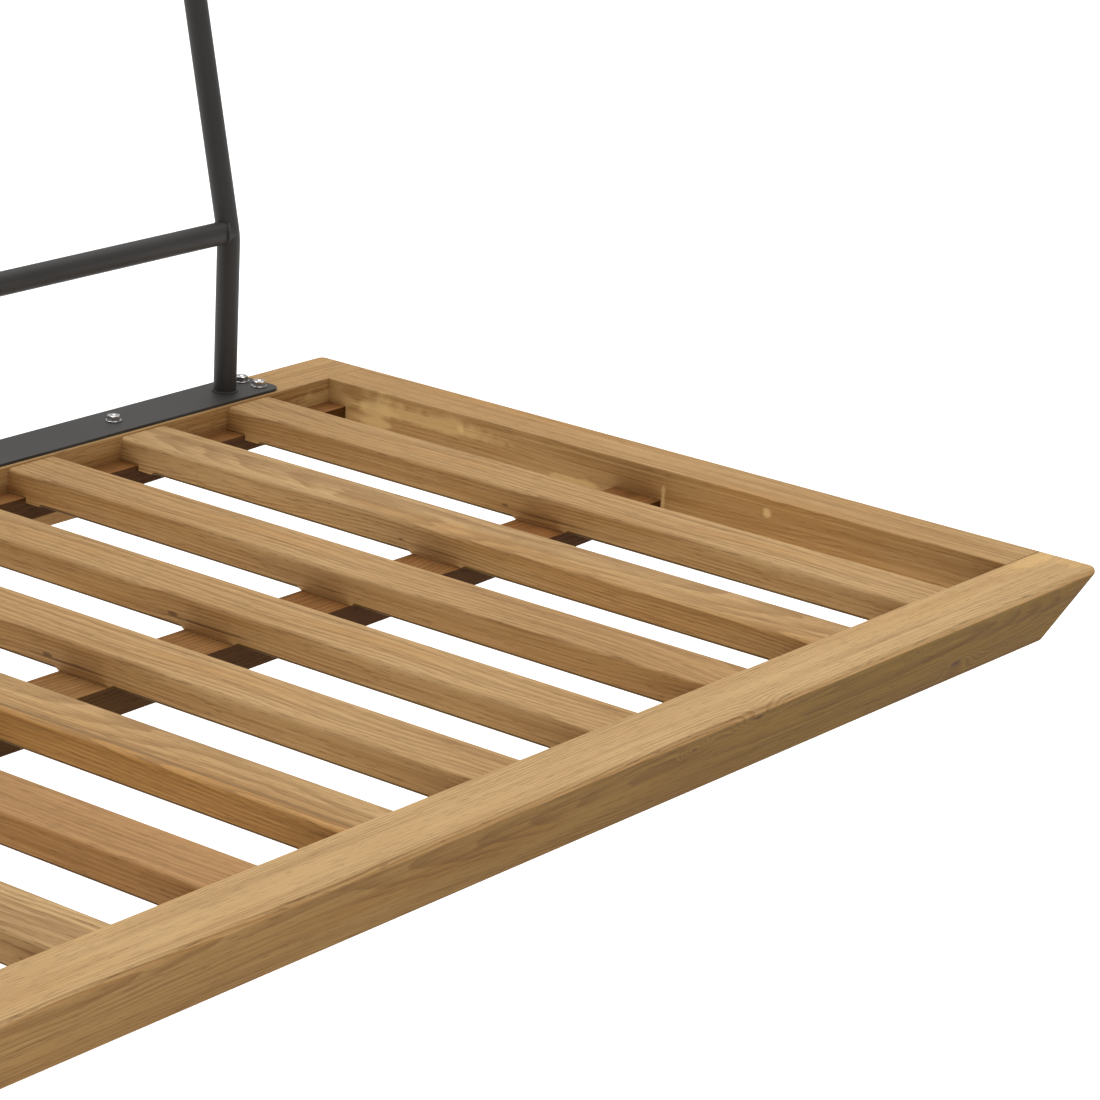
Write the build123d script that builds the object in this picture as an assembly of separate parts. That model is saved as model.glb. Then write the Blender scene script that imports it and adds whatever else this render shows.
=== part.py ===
from build123d import *
import math
import os

# Porch swing: a slatted teak platform that hangs by four shackles, with a steel back frame.
# Millimetres, +Z up, +X to the sitter's left, -Y towards the front edge of the seat.
# The origin is the bottom centre of the whole swing.

# ---------------------------------------------------------------- platform
length = 2028.0                 # over the top edges of the two end rails
depth = 1024.0                  # over the top edges of the front and rear rails
rail_height = 77.0
rail_width = 70.0               # top face of the front and rear rails
end_rail_width = 67.0
undercut = 38.0                 # how far each outer face leans in towards the floor
corner_round = 9.0
outer_edge_round = 5.0
foot_edge_round = 3.0
inner_edge_round = 1.5

# ---------------------------------------------------------------- slats
slat_count = 11
slat_width = 67.0
slat_thickness = 31.0
slat_drop = 2.0                 # slat tops sit this far below the rail tops
slat_round = 5.0
slat_end_rebate = 6.0           # the ends step down over the bearers
slat_plain_end = 44.0           # lower edges stay square near the bearers
slat_plain_middle = 1.0         # and this far each side of the centre beam

# ---------------------------------------------------------------- bearers and centre beam
bearer_width = 26.0
bearer_end_depth = 13.5
bearer_mid_depth = 29.0
beam_width = 62.0
beam_offset = 11.0              # the beam lies this far behind the middle of the depth
beam_end_depth = 15.0
beam_mid_depth = 30.5
beam_tenon = 15.0
relief_length = 360.0           # stopped bevel under the inner edge of the rear rail
relief_height = 24.0
relief_rise = 5.0

# ---------------------------------------------------------------- rail joints
tenon_thickness = 28.0
tenon_height = 38.0
tenon_length = 34.0
tenon_foot = 22.0
pin_radius = 4.0
pin_length = 48.0
fit = 0.05                      # clearance round pins and screws that are driven in

# ---------------------------------------------------------------- back frame
tube_radius = 12.5
tube_wall = 2.0
bar_width = 63.0
bar_thickness = 3.0
bar_corner = 14.0
bar_end_inset = 140.0           # from the end of the platform to the end of the bar
upright_inset = 197.5
frame_inset = 35.0              # tube line, in from the rear edge of the platform
bend_height = 175.0
crossbar_height = 180.0
back_height = 540.0             # height of the top tube's middle above the rails
lean = 12.8
bend_radius = 80.0
corner_bend_radius = 60.0
corner_stub = 110.0
weld_leg = 4.5
saddle_weld = 2.5

# ---------------------------------------------------------------- frame bolts (M8)
bolt_radius = 4.0
bolt_length = 30.0
bolt_flats = 13.0
bolt_head = 5.3
bolt_dimple = 2.4
washer_radius = 8.6
washer_thickness = 1.6
insert_radius = 6.0
insert_length = 26.0
end_bolt_inset = 17.0           # pair of bolts, in from each end of the bar
end_bolt_spacing = 26.0
single_bolt_inset = 229.0       # single bolts, in from each end of the bar
single_bolt_count = 4

# ---------------------------------------------------------------- wood screws
screw_radius = 2.25
screw_head_radius = 4.5
slat_screw_length = 34.0
bearer_screw_length = 55.0
bearer_screw_slats = (1, 3, 5, 7, 9)
bearer_screw_offset = 18.0

# ---------------------------------------------------------------- hangers
hanger_offset = 350.0           # along the end rails, each side of the middle
hanger_reach = 14.0             # eye centre, out past the top edge of the end rail
hanger_drop = 38.0              # eye centre, below the rail tops
eye_radius = 14.0
eye_half_width = 7.5
shank_radius = 6.0
collar_radius = 11.0
collar_thickness = 4.0
collar_distance = 20.0          # from the eye centre to the collar's outer face
wedge_radius = 12.0
bush_radius = 8.0
bush_half_width = 7.6
hanger_pin_radius = 5.0
running_clearance = 0.08
shackle_bar_radius = 4.0
shackle_half_width = 12.0       # to the middle of the bar
shackle_straight = 19.0
shackle_ear_radius = 10.0
pin_head_radius = 8.5
pin_head_thickness = 4.0
pin_nut_flats = 15.0
pin_nut_thickness = 6.0
pin_tail = 7.5
barrel_radius = 8.0
barrel_height = 30.0
barrel_inset = 53.0             # barrel nut's middle, in from the top edge of the end rail

# ---------------------------------------------------------------- worked-out places
rise = back_height - bend_height
frame_lean_back = rise * math.tan(math.radians(lean))
overall_depth = depth - frame_inset + frame_lean_back + tube_radius
front = -overall_depth / 2
rear = front + depth
top = rail_height
half = length / 2
inner_front = front + rail_width
inner_rear = rear - rail_width
inner_half = half - end_rail_width
slat_top = top - slat_drop
slat_bottom = slat_top - slat_thickness
bearer_top = slat_bottom + slat_end_rebate
gap = (2 * inner_half - slat_count * slat_width) / (slat_count + 1)
slat_centres = [-inner_half + gap + slat_width / 2 + i * (slat_width + gap) for i in range(slat_count)]
beam_middle = (front + rear) / 2 + beam_offset
frame_y = rear - frame_inset
frame_top_y = frame_y + frame_lean_back
bar_half = half - bar_end_inset
upright_x = half - upright_inset
bar_top = top + bar_thickness
bolt_spots = [
    (side * (bar_half - end_bolt_inset), frame_y + row * end_bolt_spacing / 2)
    for side in (-1, 1)
    for row in (-1, 1)
]
single_span = 2 * (bar_half - single_bolt_inset) / (single_bolt_count - 1)
bolt_spots += [
    (-bar_half + single_bolt_inset + i * single_span, frame_y) for i in range(single_bolt_count)
]
hanger_z = top - hanger_drop
hanger_x = half + hanger_reach
hangers = {
    f"{row}_{side}": (x_sign, (front + rear) / 2 + y_sign * hanger_offset)
    for side, x_sign in (("left", -1), ("right", 1))
    for row, y_sign in (("front", -1), ("rear", 1))
}

parts = {}


# ---------------------------------------------------------------- helpers
def block(x0, x1, y0, y1, z0, z1):
    """A box between two corners."""
    middle = Pos((x0 + x1) / 2, (y0 + y1) / 2, (z0 + z1) / 2)
    return middle * Box(x1 - x0, y1 - y0, z1 - z0)


def rod(radius, start, end):
    """A round bar from one point to another."""
    start, end = Vector(*start), Vector(*end)
    along = end - start
    base = Plane(origin=start, z_dir=along)
    return base * Cylinder(radius, along.length, align=(Align.CENTER, Align.CENTER, Align.MIN))


def ring(outer, inner, start, end):
    """A round tube or washer from one point to another."""
    return rod(outer, start, end) - rod(inner, start, end)


def hex_bar(flats, start, end):
    """A hexagonal bar from one point to another, measured across the flats."""
    start, end = Vector(*start), Vector(*end)
    along = end - start
    base = Plane(origin=start, z_dir=along)
    return extrude(base * RegularPolygon(flats / math.sqrt(3), 6), along.length, dir=along.normalized())


def group(solids):
    """Separate solids that share one name."""
    return Compound(children=list(solids))


def edges_along(shape, axis, x=None, y=None, z=None, tolerance=0.01):
    """The straight edges parallel to an axis whose middle has the given coordinates."""
    found = []
    for edge in shape.edges().filter_by(axis):
        middle = edge.center()
        wanted = ((x, middle.X), (y, middle.Y), (z, middle.Z))
        if all(value is None or abs(value - got) < tolerance for value, got in wanted):
            found.append(edge)
    return found


def wood_screw(head, tip, length_out):
    """A countersunk screw: its head is flush with the surface at head and points to tip."""
    head, tip = Vector(*head), Vector(*tip)
    way = (tip - head).normalized()
    cone_depth = screw_head_radius - screw_radius
    base = Plane(origin=head, z_dir=way)
    cone = base * Cone(
        screw_head_radius, screw_radius, cone_depth, align=(Align.CENTER, Align.CENTER, Align.MIN)
    )
    shank = rod(screw_radius, head + way * cone_depth, head + way * (length_out - 4))
    point = Plane(origin=head + way * (length_out - 4), z_dir=way) * Cone(
        screw_radius, 0.5, 4, align=(Align.CENTER, Align.CENTER, Align.MIN)
    )
    return cone + shank + point


def screw_hole(head, tip, length_out):
    """The hole that a countersunk screw sits in."""
    head, tip = Vector(*head), Vector(*tip)
    way = (tip - head).normalized()
    cone_depth = screw_head_radius - screw_radius
    base = Plane(origin=head - way * fit, z_dir=way)
    cone = base * Cone(
        screw_head_radius + 2 * fit,
        screw_radius + fit,
        cone_depth + fit,
        align=(Align.CENTER, Align.CENTER, Align.MIN),
    )
    return cone + rod(screw_radius + fit, head, head + way * (length_out + fit))


# ---------------------------------------------------------------- rails
def platform_blank():
    """The outer form of the four rails together: a tray shape with leaning sides."""
    across = Polyline(
        (-half, top), (half, top), (half - undercut, 0), (-half + undercut, 0), close=True
    )
    along = Polyline(
        (front, top), (rear, top), (rear - undercut, 0), (front + undercut, 0), close=True
    )
    long_way = extrude(Plane.XZ * make_face(across), 2 * depth, both=True)
    short_way = extrude(Plane.YZ * make_face(along), 2 * length, both=True)
    blank = long_way & short_way
    leaning = [edge for edge in blank.edges() if 1.0 < abs((edge @ 1 - edge @ 0).Z)]
    blank = fillet(leaning, corner_round)
    upper = [edge for edge in blank.edges() if abs(edge.center().Z - top) < 0.01]
    blank = fillet(upper, outer_edge_round)
    lower = [edge for edge in blank.edges() if abs(edge.center().Z) < 0.01]
    return fillet(lower, foot_edge_round)


def tenon(x_sign, y_sign):
    """The stub on an end rail that enters the front or rear rail."""
    x0 = inner_half + 3
    y0 = inner_front if y_sign < 0 else inner_rear
    y_out = y0 + y_sign * tenon_length
    lo, hi = sorted((y0 - y_sign * 2, y_out))
    x_lo, x_hi = sorted((x_sign * x0, x_sign * (x0 + tenon_thickness)))
    return block(x_lo, x_hi, lo, hi, tenon_foot, tenon_foot + tenon_height)


def tenon_pin_line(x_sign, y_sign):
    """Bottom and top of the pin that locks a tenon from below."""
    x = x_sign * (inner_half + 3 + tenon_thickness / 2)
    y = (inner_front if y_sign < 0 else inner_rear) + y_sign * 17
    return (x, y, 2.0), (x, y, 2.0 + pin_length)


def beam_stub(x_sign):
    """The stub on the centre beam that enters an end rail."""
    lo, hi = sorted((x_sign * (inner_half - 1), x_sign * (inner_half + beam_tenon)))
    stub_top = slat_bottom - 2
    return block(lo, hi, beam_middle - 20, beam_middle + 20, stub_top - 11, stub_top)


def hanger_bores(x_sign, y):
    """The eye bolt's hole and the barrel nut's hole in an end rail."""
    barrel_x = x_sign * (half - barrel_inset)
    shank = rod(
        shank_radius + fit,
        (x_sign * (barrel_inset_end + 0.5), y, hanger_z),
        (x_sign * (half + 5), y, hanger_z),
    )
    barrel = rod(
        barrel_radius + fit, (barrel_x, y, -1), (barrel_x, y, hanger_z + barrel_height / 2)
    )
    return shank + barrel


barrel_inset_end = half - barrel_inset - barrel_radius - 2.5


def make_rails():
    blank = platform_blank()
    wide = half + 50
    front_rail = blank & block(-wide, wide, front - 50, inner_front, -5, top + 5)
    rear_rail = blank & block(-wide, wide, inner_rear, rear + 50, -5, top + 5)
    front_rail = fillet(edges_along(front_rail, Axis.X, y=inner_front), inner_edge_round)
    rear_rail = fillet(edges_along(rear_rail, Axis.X, y=inner_rear), inner_edge_round)

    # A stopped bevel under each end of the rear rail's inner edge.
    bevel = make_face(
        Polyline(
            (inner_rear - 1, -1),
            (inner_rear - 1, relief_height),
            (rear - undercut + 2.5, relief_rise),
            (rear - undercut + 2.5, -1),
            close=True,
        )
    )
    for x_sign in (-1, 1):
        start = x_sign * (inner_half + 1)
        cut = extrude(Plane.YZ.offset(start) * bevel, -x_sign * relief_length)
        rear_rail -= cut

    rails = {"front_rail": front_rail, "rear_rail": rear_rail}
    for side, x_sign in (("left", -1), ("right", 1)):
        lo, hi = sorted((x_sign * inner_half, x_sign * wide))
        rail = blank & block(lo, hi, inner_front, inner_rear, -5, top + 5)
        rail = fillet(edges_along(rail, Axis.Y, x=x_sign * inner_half), inner_edge_round)
        rail -= beam_stub(x_sign)
        for name, (sign, y) in hangers.items():
            if sign == x_sign:
                rail -= hanger_bores(x_sign, y)
        for y_sign, long_rail in ((-1, "front_rail"), (1, "rear_rail")):
            stub = tenon(x_sign, y_sign)
            foot, head = tenon_pin_line(x_sign, y_sign)
            hole = rod(pin_radius + fit, foot, head)
            rails[long_rail] = rails[long_rail] - stub - hole - rod(pin_radius + fit, (*foot[:2], -1), foot)
            rail = rail + stub - hole
        rails[f"{side}_end_rail"] = rail
    return rails


def make_tenon_pins():
    pins = []
    for x_sign in (-1, 1):
        for y_sign in (-1, 1):
            foot, head = tenon_pin_line(x_sign, y_sign)
            pins.append(rod(pin_radius, foot, head))
    return group(pins)


# ---------------------------------------------------------------- bearers and beam
def arched_board(y_lo, y_hi, z_top, end_depth, mid_depth):
    """A board between the end rails, deepest in the middle of the platform."""
    under_ends = z_top - end_depth
    outline = Polyline((-inner_half, under_ends), (-inner_half, z_top), (inner_half, z_top), (inner_half, under_ends))
    arch = ThreePointArc((inner_half, under_ends), (0, z_top - mid_depth), (-inner_half, under_ends))
    face = make_face(Curve() + [outline, arch])
    board = extrude(Plane.XZ.offset(-y_hi) * face, y_hi - y_lo)
    return board


def arch_underside(x, z_top, end_depth, mid_depth):
    """Height of an arched board's underside at x."""
    sagitta = mid_depth - end_depth
    radius = (inner_half**2 + sagitta**2) / (2 * sagitta)
    return z_top - mid_depth + radius - math.sqrt(radius**2 - x**2)


board_specs = {
    "front_bearer": (inner_front, inner_front + bearer_width, bearer_top, bearer_end_depth, bearer_mid_depth),
    "centre_beam": (
        beam_middle - beam_width / 2,
        beam_middle + beam_width / 2,
        slat_bottom,
        beam_end_depth,
        beam_mid_depth,
    ),
    "rear_bearer": (inner_rear - bearer_width, inner_rear, bearer_top, bearer_end_depth, bearer_mid_depth),
}
screw_rows = {
    "slat_screws_front": "front_bearer",
    "slat_screws_centre": "centre_beam",
    "slat_screws_rear": "rear_bearer",
}


def slat_screw_line(board, x):
    """Head and tip of the screw that holds the slat at x, driven up through a board."""
    y_lo, y_hi, z_top, end_depth, mid_depth = board_specs[board]
    y = (y_lo + y_hi) / 2
    under = arch_underside(x, z_top, end_depth, mid_depth) + 1.0
    return (x, y, under), (x, y, under + slat_screw_length)


def bearer_screw_line(board, index):
    """Head and tip of a level screw that holds a bearer to its rail."""
    y_lo, y_hi, z_top, end_depth, mid_depth = board_specs[board]
    x = slat_centres[index] + bearer_screw_offset
    z = z_top - 7.5
    if board == "front_bearer":
        return (x, y_hi, z), (x, y_hi - bearer_screw_length, z)
    return (x, y_lo, z), (x, y_lo + bearer_screw_length, z)


# ---------------------------------------------------------------- slats
def slat_blank():
    """One slat centred on X = 0, with eased edges that stay square where it is carried."""
    y0, y1 = inner_front, inner_rear
    slat = block(-slat_width / 2, slat_width / 2, y0, y1, slat_bottom, slat_top)
    slat = fillet(edges_along(slat, Axis.Y, z=slat_top), slat_round)
    beam_lo = beam_middle - beam_width / 2 - slat_plain_middle
    beam_hi = beam_middle + beam_width / 2 + slat_plain_middle
    for start, end in ((y0 + slat_plain_end, beam_lo), (beam_hi, y1 - slat_plain_end)):
        for side in (-1, 1):
            slat -= edge_roundover(side, start, end)
    for lo, hi in ((y0 - 1, y0 + bearer_width), (y1 - bearer_width, y1 + 1)):
        slat -= block(-slat_width, slat_width, lo, hi, slat_bottom - 1, bearer_top)
    return slat


def edge_roundover(side, start, end):
    """What a rounding cutter takes off a lower edge between two stops, running out at each."""
    corner_x = side * slat_width / 2
    size = slat_round
    middle_x = corner_x - side * size
    middle_z = slat_bottom + size
    corner = block(
        min(corner_x, middle_x) - (0.5 if side < 0 else 0),
        max(corner_x, middle_x) + (0.5 if side > 0 else 0),
        start,
        end,
        slat_bottom - 0.5,
        middle_z,
    )
    keep = rod(size, (middle_x, start - 1, middle_z), (middle_x, end + 1, middle_z))
    cut = corner - keep
    run_out = 1.2 * size
    for y, way in ((start, 1), (end, -1)):
        wedge = make_face(
            Polyline(
                (y - way, slat_bottom - 1),
                (y - way, middle_z + 1),
                (y, middle_z + 1),
                (y + way * run_out, slat_bottom - 1),
                close=True,
            )
        )
        cut -= extrude(Plane.YZ * wedge, slat_width, both=True)
    return cut


# ---------------------------------------------------------------- back frame
def swept_tube(points, radii, outer, inner):
    """A bent tube along straight runs joined by bends."""
    path = FilletPolyline(*points, radius=radii)
    base = Plane(origin=points[0], z_dir=Vector(*points[1]) - Vector(*points[0]))
    section = Circle(outer) if inner is None else Circle(outer) - Circle(inner)
    return sweep(base * section, path=path)


def upright_path(x_sign):
    x = x_sign * upright_x
    return [
        (x, frame_y, bar_top),
        (x, frame_y, top + bend_height),
        (x, frame_top_y, top + back_height),
        (x - x_sign * corner_stub, frame_top_y, top + back_height),
    ]


def make_back_frame():
    bore = tube_radius - tube_wall
    radii = [bend_radius, corner_bend_radius]
    made = {}

    bar = block(-bar_half, bar_half, frame_y - bar_width / 2, frame_y + bar_width / 2, top, bar_top)
    bar = fillet(bar.edges().filter_by(Axis.Z), bar_corner)
    for x, y in bolt_spots:
        bar -= rod(bolt_radius + 0.5, (x, y, top - 1), (x, y, bar_top + 1))
    made["base_bar"] = bar

    cores = {}
    for side, x_sign in (("left", -1), ("right", 1)):
        path = upright_path(x_sign)
        made[f"{side}_upright"] = swept_tube(path, radii, tube_radius, bore)
        cores[side] = swept_tube(path, radii, tube_radius, None)

    cross_z = top + crossbar_height
    cross_y = frame_y + (crossbar_height - bend_height) * math.tan(math.radians(lean)) / 2
    cross_ends = (-upright_x, cross_y, cross_z), (upright_x, cross_y, cross_z)
    crossbar = ring(tube_radius, bore, *cross_ends)
    made["crossbar"] = crossbar - cores["left"] - cores["right"]

    stub_x = upright_x - corner_stub
    top_z = top + back_height
    top_ends = (-stub_x, frame_top_y, top_z), (stub_x, frame_top_y, top_z)
    made["top_rail"] = ring(tube_radius, bore, *top_ends)

    cross_core = rod(tube_radius, *cross_ends)
    top_core = rod(tube_radius, *top_ends)
    post_foot, post_knee = (0, cross_y, bar_top), (0, cross_y, cross_z)
    post_head = (0, frame_top_y, top_z)
    made["centre_post_lower"] = ring(tube_radius, bore, post_foot, post_knee) - cross_core
    upper_post = ring(tube_radius, bore, post_knee, post_head) - cross_core - top_core
    below_knee = block(-20, 20, cross_y - 40, cross_y + 40, cross_z - 40, cross_z)
    made["centre_post_upper"] = upper_post - below_knee

    made["base_welds"] = group(
        base_weld(x, y) for x, y in ((-upright_x, frame_y), (0, cross_y), (upright_x, frame_y))
    )
    collar = tube_radius + saddle_weld
    beads = []
    for side, x_sign in (("left", -1), ("right", 1)):
        around_post = rod(
            collar, (x_sign * upright_x, frame_y, cross_z - 40), (x_sign * upright_x, frame_y, cross_z + 40)
        )
        around_bar = rod(
            collar, (0, cross_y, cross_z), (x_sign * upright_x, cross_y, cross_z)
        )
        beads.append((around_post & around_bar) - cores[side] - cross_core)
    lower_core = rod(tube_radius, post_foot, post_knee)
    upper_core = rod(tube_radius, post_knee, post_head)
    knee = rod(collar, (-40, cross_y, cross_z), (40, cross_y, cross_z))
    round_post = rod(collar, post_foot, post_knee) + rod(collar, post_knee, post_head)
    beads.append((knee & round_post) - cross_core - lower_core - upper_core)
    crown = rod(collar, (-40, frame_top_y, top_z), (40, frame_top_y, top_z))
    beads.append((crown & rod(collar, post_knee, post_head)) - top_core - upper_core)
    made["tube_welds"] = group(beads)
    return made


def base_weld(x, y):
    """The fillet bead where a tube stands on the bar."""
    profile = make_face(
        Polyline(
            (tube_radius, 0),
            (tube_radius + weld_leg, 0),
            (tube_radius + weld_leg * 0.35, weld_leg * 0.35),
            (tube_radius, weld_leg),
            close=True,
        )
    )
    bead = revolve(Plane.XZ * profile, Axis.Z)
    return Pos(x, y, bar_top) * bead


# ---------------------------------------------------------------- frame bolts
def make_frame_bolts():
    heads, washers, inserts = [], [], []
    for x, y in bolt_spots:
        seat = bar_top + washer_thickness
        under = bar_top - bolt_length
        head = hex_bar(bolt_flats, (x, y, seat), (x, y, seat + bolt_head))
        crown = Pos(x, y, seat + bolt_head / 2) * Cylinder(bolt_flats / math.sqrt(3), bolt_head)
        crown = chamfer(crown.edges().filter_by(GeomType.CIRCLE).sort_by(Axis.Z)[-1], 0.7)
        dimple = rod(bolt_dimple, (x, y, seat + bolt_head - 1.2), (x, y, seat + bolt_head + 1))
        heads.append((head & crown) - dimple + rod(bolt_radius, (x, y, under), (x, y, seat)))
        washers.append(ring(washer_radius, bolt_radius + fit, (x, y, bar_top), (x, y, seat)))
        inserts.append(
            ring(insert_radius, bolt_radius + fit, (x, y, top - 1 - insert_length), (x, y, top - 1))
        )
    return {"frame_bolts": group(heads), "frame_washers": group(washers), "frame_inserts": group(inserts)}


def insert_holes():
    holes = [
        rod(insert_radius + fit, (x, y, top - 2 - insert_length - bolt_radius), (x, y, top + 1))
        for x, y in bolt_spots
    ]
    return group(holes)


# ---------------------------------------------------------------- hangers
def make_hanger_fixings():
    eyes, wedges, bushes, barrels = [], [], [], []
    for x_sign, y in hangers.values():
        x = x_sign * hanger_x
        eye = rod(eye_radius, (x, y - eye_half_width, hanger_z), (x, y + eye_half_width, hanger_z))
        eye = fillet(eye.edges().filter_by(GeomType.CIRCLE), 2.0)
        shank_end = x_sign * (barrel_inset_end + 1.0)
        shank = rod(shank_radius, (shank_end, y, hanger_z), (x - x_sign * (eye_radius - 3), y, hanger_z))
        collar_out = x - x_sign * collar_distance
        collar_in = collar_out - x_sign * collar_thickness
        collar = rod(collar_radius, (collar_in, y, hanger_z), (collar_out, y, hanger_z))
        bore = rod(bush_radius, (x, y - 20, hanger_z), (x, y + 20, hanger_z))
        eyes.append(eye + shank + collar - bore)

        wedge = ring(wedge_radius, shank_radius + fit, (x_sign * (half - 40), y, hanger_z), (collar_in, y, hanger_z))
        wedges.append(wedge - leaning_end(x_sign, y))
        bushes.append(
            ring(
                bush_radius,
                hanger_pin_radius + running_clearance,
                (x, y - bush_half_width, hanger_z),
                (x, y + bush_half_width, hanger_z),
            )
        )
        barrel_x = x_sign * (half - barrel_inset)
        barrel = rod(
            barrel_radius,
            (barrel_x, y, hanger_z - barrel_height / 2),
            (barrel_x, y, hanger_z + barrel_height / 2 - fit),
        )
        thread = rod(shank_radius + fit, (shank_end - x_sign * 5, y, hanger_z), (x, y, hanger_z))
        barrels.append(barrel - thread)
    return {
        "eye_bolts": group(eyes),
        "wedge_washers": group(wedges),
        "eye_bushes": group(bushes),
        "barrel_nuts": group(barrels),
    }


def leaning_end(x_sign, y):
    """The space inside an end rail's leaning outer face, near one hanger."""
    face = make_face(
        Polyline(
            (x_sign * half, top),
            (x_sign * (half - undercut), 0),
            (x_sign * (half - 200), 0),
            (x_sign * (half - 200), top),
            close=True,
        )
    )
    return extrude(Plane.XZ.offset(-y) * face, 40, both=True)


def make_shackle():
    """A D shackle with its pin's middle at the origin, hanging straight down: bow, pin and nut."""
    a, drop = shackle_half_width, shackle_straight
    section = Plane(origin=(0, -a, 0), z_dir=(0, 0, -1)) * Circle(shackle_bar_radius)
    path = Curve() + [
        Line((0, -a, 0), (0, -a, -drop)),
        ThreePointArc((0, -a, -drop), (0, 0, -drop - a), (0, a, -drop)),
        Line((0, a, -drop), (0, a, 0)),
    ]
    bow = sweep(section, path=path.wires()[0])
    inner, outer = a - shackle_bar_radius, a + shackle_bar_radius
    for sign in (-1, 1):
        ear = rod(shackle_ear_radius, (0, sign * inner, 0), (0, sign * outer, 0))
        bow += fillet(ear.edges().filter_by(GeomType.CIRCLE), 1.5)
    bow -= rod(hanger_pin_radius + fit, (0, -30, 0), (0, 30, 0))

    pin = rod(hanger_pin_radius, (0, -outer - 1, 0), (0, outer + pin_tail, 0))
    head = rod(pin_head_radius, (0, -outer - pin_head_thickness, 0), (0, -outer, 0))
    pin += fillet(head.edges().filter_by(GeomType.CIRCLE), 1.0)
    nut = hex_bar(pin_nut_flats, (0, outer, 0), (0, outer + pin_nut_thickness, 0))
    nut -= rod(hanger_pin_radius + fit, (0, 0, 0), (0, 40, 0))
    return bow, pin, nut


# ---------------------------------------------------------------- assembly
rails = make_rails()
boards = {}
for name, spec in board_specs.items():
    boards[name] = arched_board(*spec)
for x_sign in (-1, 1):
    boards["centre_beam"] += beam_stub(x_sign)

slats = {}
blank_slat = slat_blank()
for number, x in enumerate(slat_centres):
    slats[f"slat_{number + 1:02d}"] = Pos(x, 0, 0) * blank_slat

for node, board in screw_rows.items():
    screws = []
    for number, x in enumerate(slat_centres):
        head, tip = slat_screw_line(board, x)
        screws.append(wood_screw(head, tip, slat_screw_length))
        hole = screw_hole(head, tip, slat_screw_length)
        boards[board] = boards[board] - hole - rod(screw_head_radius + 0.1, (*head[:2], head[2] - 4), head)
        slats[f"slat_{number + 1:02d}"] -= hole
    parts[node] = group(screws)

for board, rail in (("front_bearer", "front_rail"), ("rear_bearer", "rear_rail")):
    screws = []
    for index in bearer_screw_slats:
        head, tip = bearer_screw_line(board, index)
        screws.append(wood_screw(head, tip, bearer_screw_length))
        hole = screw_hole(head, tip, bearer_screw_length)
        boards[board] -= hole
        rails[rail] -= hole
    parts[board.replace("bearer", "bearer_screws")] = group(screws)

rails["rear_rail"] -= insert_holes()

parts.update(rails)
parts.update(boards)
parts.update(slats)
parts["tenon_pins"] = make_tenon_pins()
parts.update(make_back_frame())
parts.update(make_frame_bolts())
parts.update(make_hanger_fixings())
bow, pin, nut = make_shackle()
for name, (x_sign, y) in hangers.items():
    eye = Pos(x_sign * hanger_x, y, hanger_z)
    parts[f"shackle_{name}"] = eye * bow
    parts[f"shackle_pin_{name}"] = eye * pin
    parts[f"shackle_nut_{name}"] = eye * nut

os.makedirs("parts", exist_ok=True)
for name, shape in parts.items():
    export_step(shape, f"parts/{name}.step")
print(len(parts), "nodes;", "overall depth", round(overall_depth, 1), "slat gap", round(gap, 2))
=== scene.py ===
# %% [markdown]
# # A hanging daybed in oiled teak
# The swing is a slatted tray of teak with undercut rails. A steel back frame is bolted along its
# rear rail, and four shackles under the ends take the ropes. We dress that frame: some pieces
# get a better mesh, and every piece gets a finish.

# %% Load the frame
import math

import bmesh
import bpy
from mathutils import Matrix, Vector


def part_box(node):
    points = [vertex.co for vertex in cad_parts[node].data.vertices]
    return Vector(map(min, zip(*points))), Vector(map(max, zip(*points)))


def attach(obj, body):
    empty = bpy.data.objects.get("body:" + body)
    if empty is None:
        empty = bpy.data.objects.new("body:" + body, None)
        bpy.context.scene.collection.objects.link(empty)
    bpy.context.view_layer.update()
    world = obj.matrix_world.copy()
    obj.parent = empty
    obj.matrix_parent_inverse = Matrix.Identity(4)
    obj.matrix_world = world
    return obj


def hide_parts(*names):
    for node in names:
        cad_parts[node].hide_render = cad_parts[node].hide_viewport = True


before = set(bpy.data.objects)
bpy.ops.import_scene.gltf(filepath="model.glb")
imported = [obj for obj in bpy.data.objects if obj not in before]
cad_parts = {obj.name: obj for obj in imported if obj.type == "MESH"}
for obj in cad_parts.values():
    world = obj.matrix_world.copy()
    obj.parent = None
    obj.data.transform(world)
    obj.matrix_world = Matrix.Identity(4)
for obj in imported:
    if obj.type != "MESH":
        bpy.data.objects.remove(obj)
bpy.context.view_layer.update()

# %% [markdown]
# ## The camera
# We stand a few steps from the front corner, a little above the seat, and look along the rails
# with a long lens. A long lens keeps the rails nearly parallel, so the shape is easy to judge. The
# direction is written as a compass angle, a downward angle and a small roll.

# %% Camera
AZIMUTH, DOWNWARD, ROLL = math.radians(52.318), math.radians(18.105), math.radians(2.938)
CAMERA_PLACE = (-2.376, -2.4748, 1.3276)
LENS_LENGTH, SENSOR_WIDTH = 135.54, 36.0
ahead = Vector((
    math.sin(AZIMUTH) * math.cos(DOWNWARD), math.cos(AZIMUTH) * math.cos(DOWNWARD), -math.sin(DOWNWARD)
))
level_right = ahead.cross(Vector((0, 0, 1))).normalized()
level_up = level_right.cross(ahead)
camera_right = level_right * math.cos(ROLL) + level_up * math.sin(ROLL)
camera_up = camera_right.cross(ahead)
eye = bpy.data.objects.new("camera", bpy.data.cameras.new("camera"))
eye.data.lens = LENS_LENGTH
eye.data.sensor_width = SENSOR_WIDTH
eye.data.clip_start, eye.data.clip_end = 0.05, 60.0
turn = Matrix((camera_right, camera_up, -ahead)).transposed()
eye.matrix_world = Matrix.Translation(CAMERA_PLACE) @ turn.to_4x4()
bpy.context.scene.collection.objects.link(eye)
bpy.context.scene.camera = eye
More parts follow.
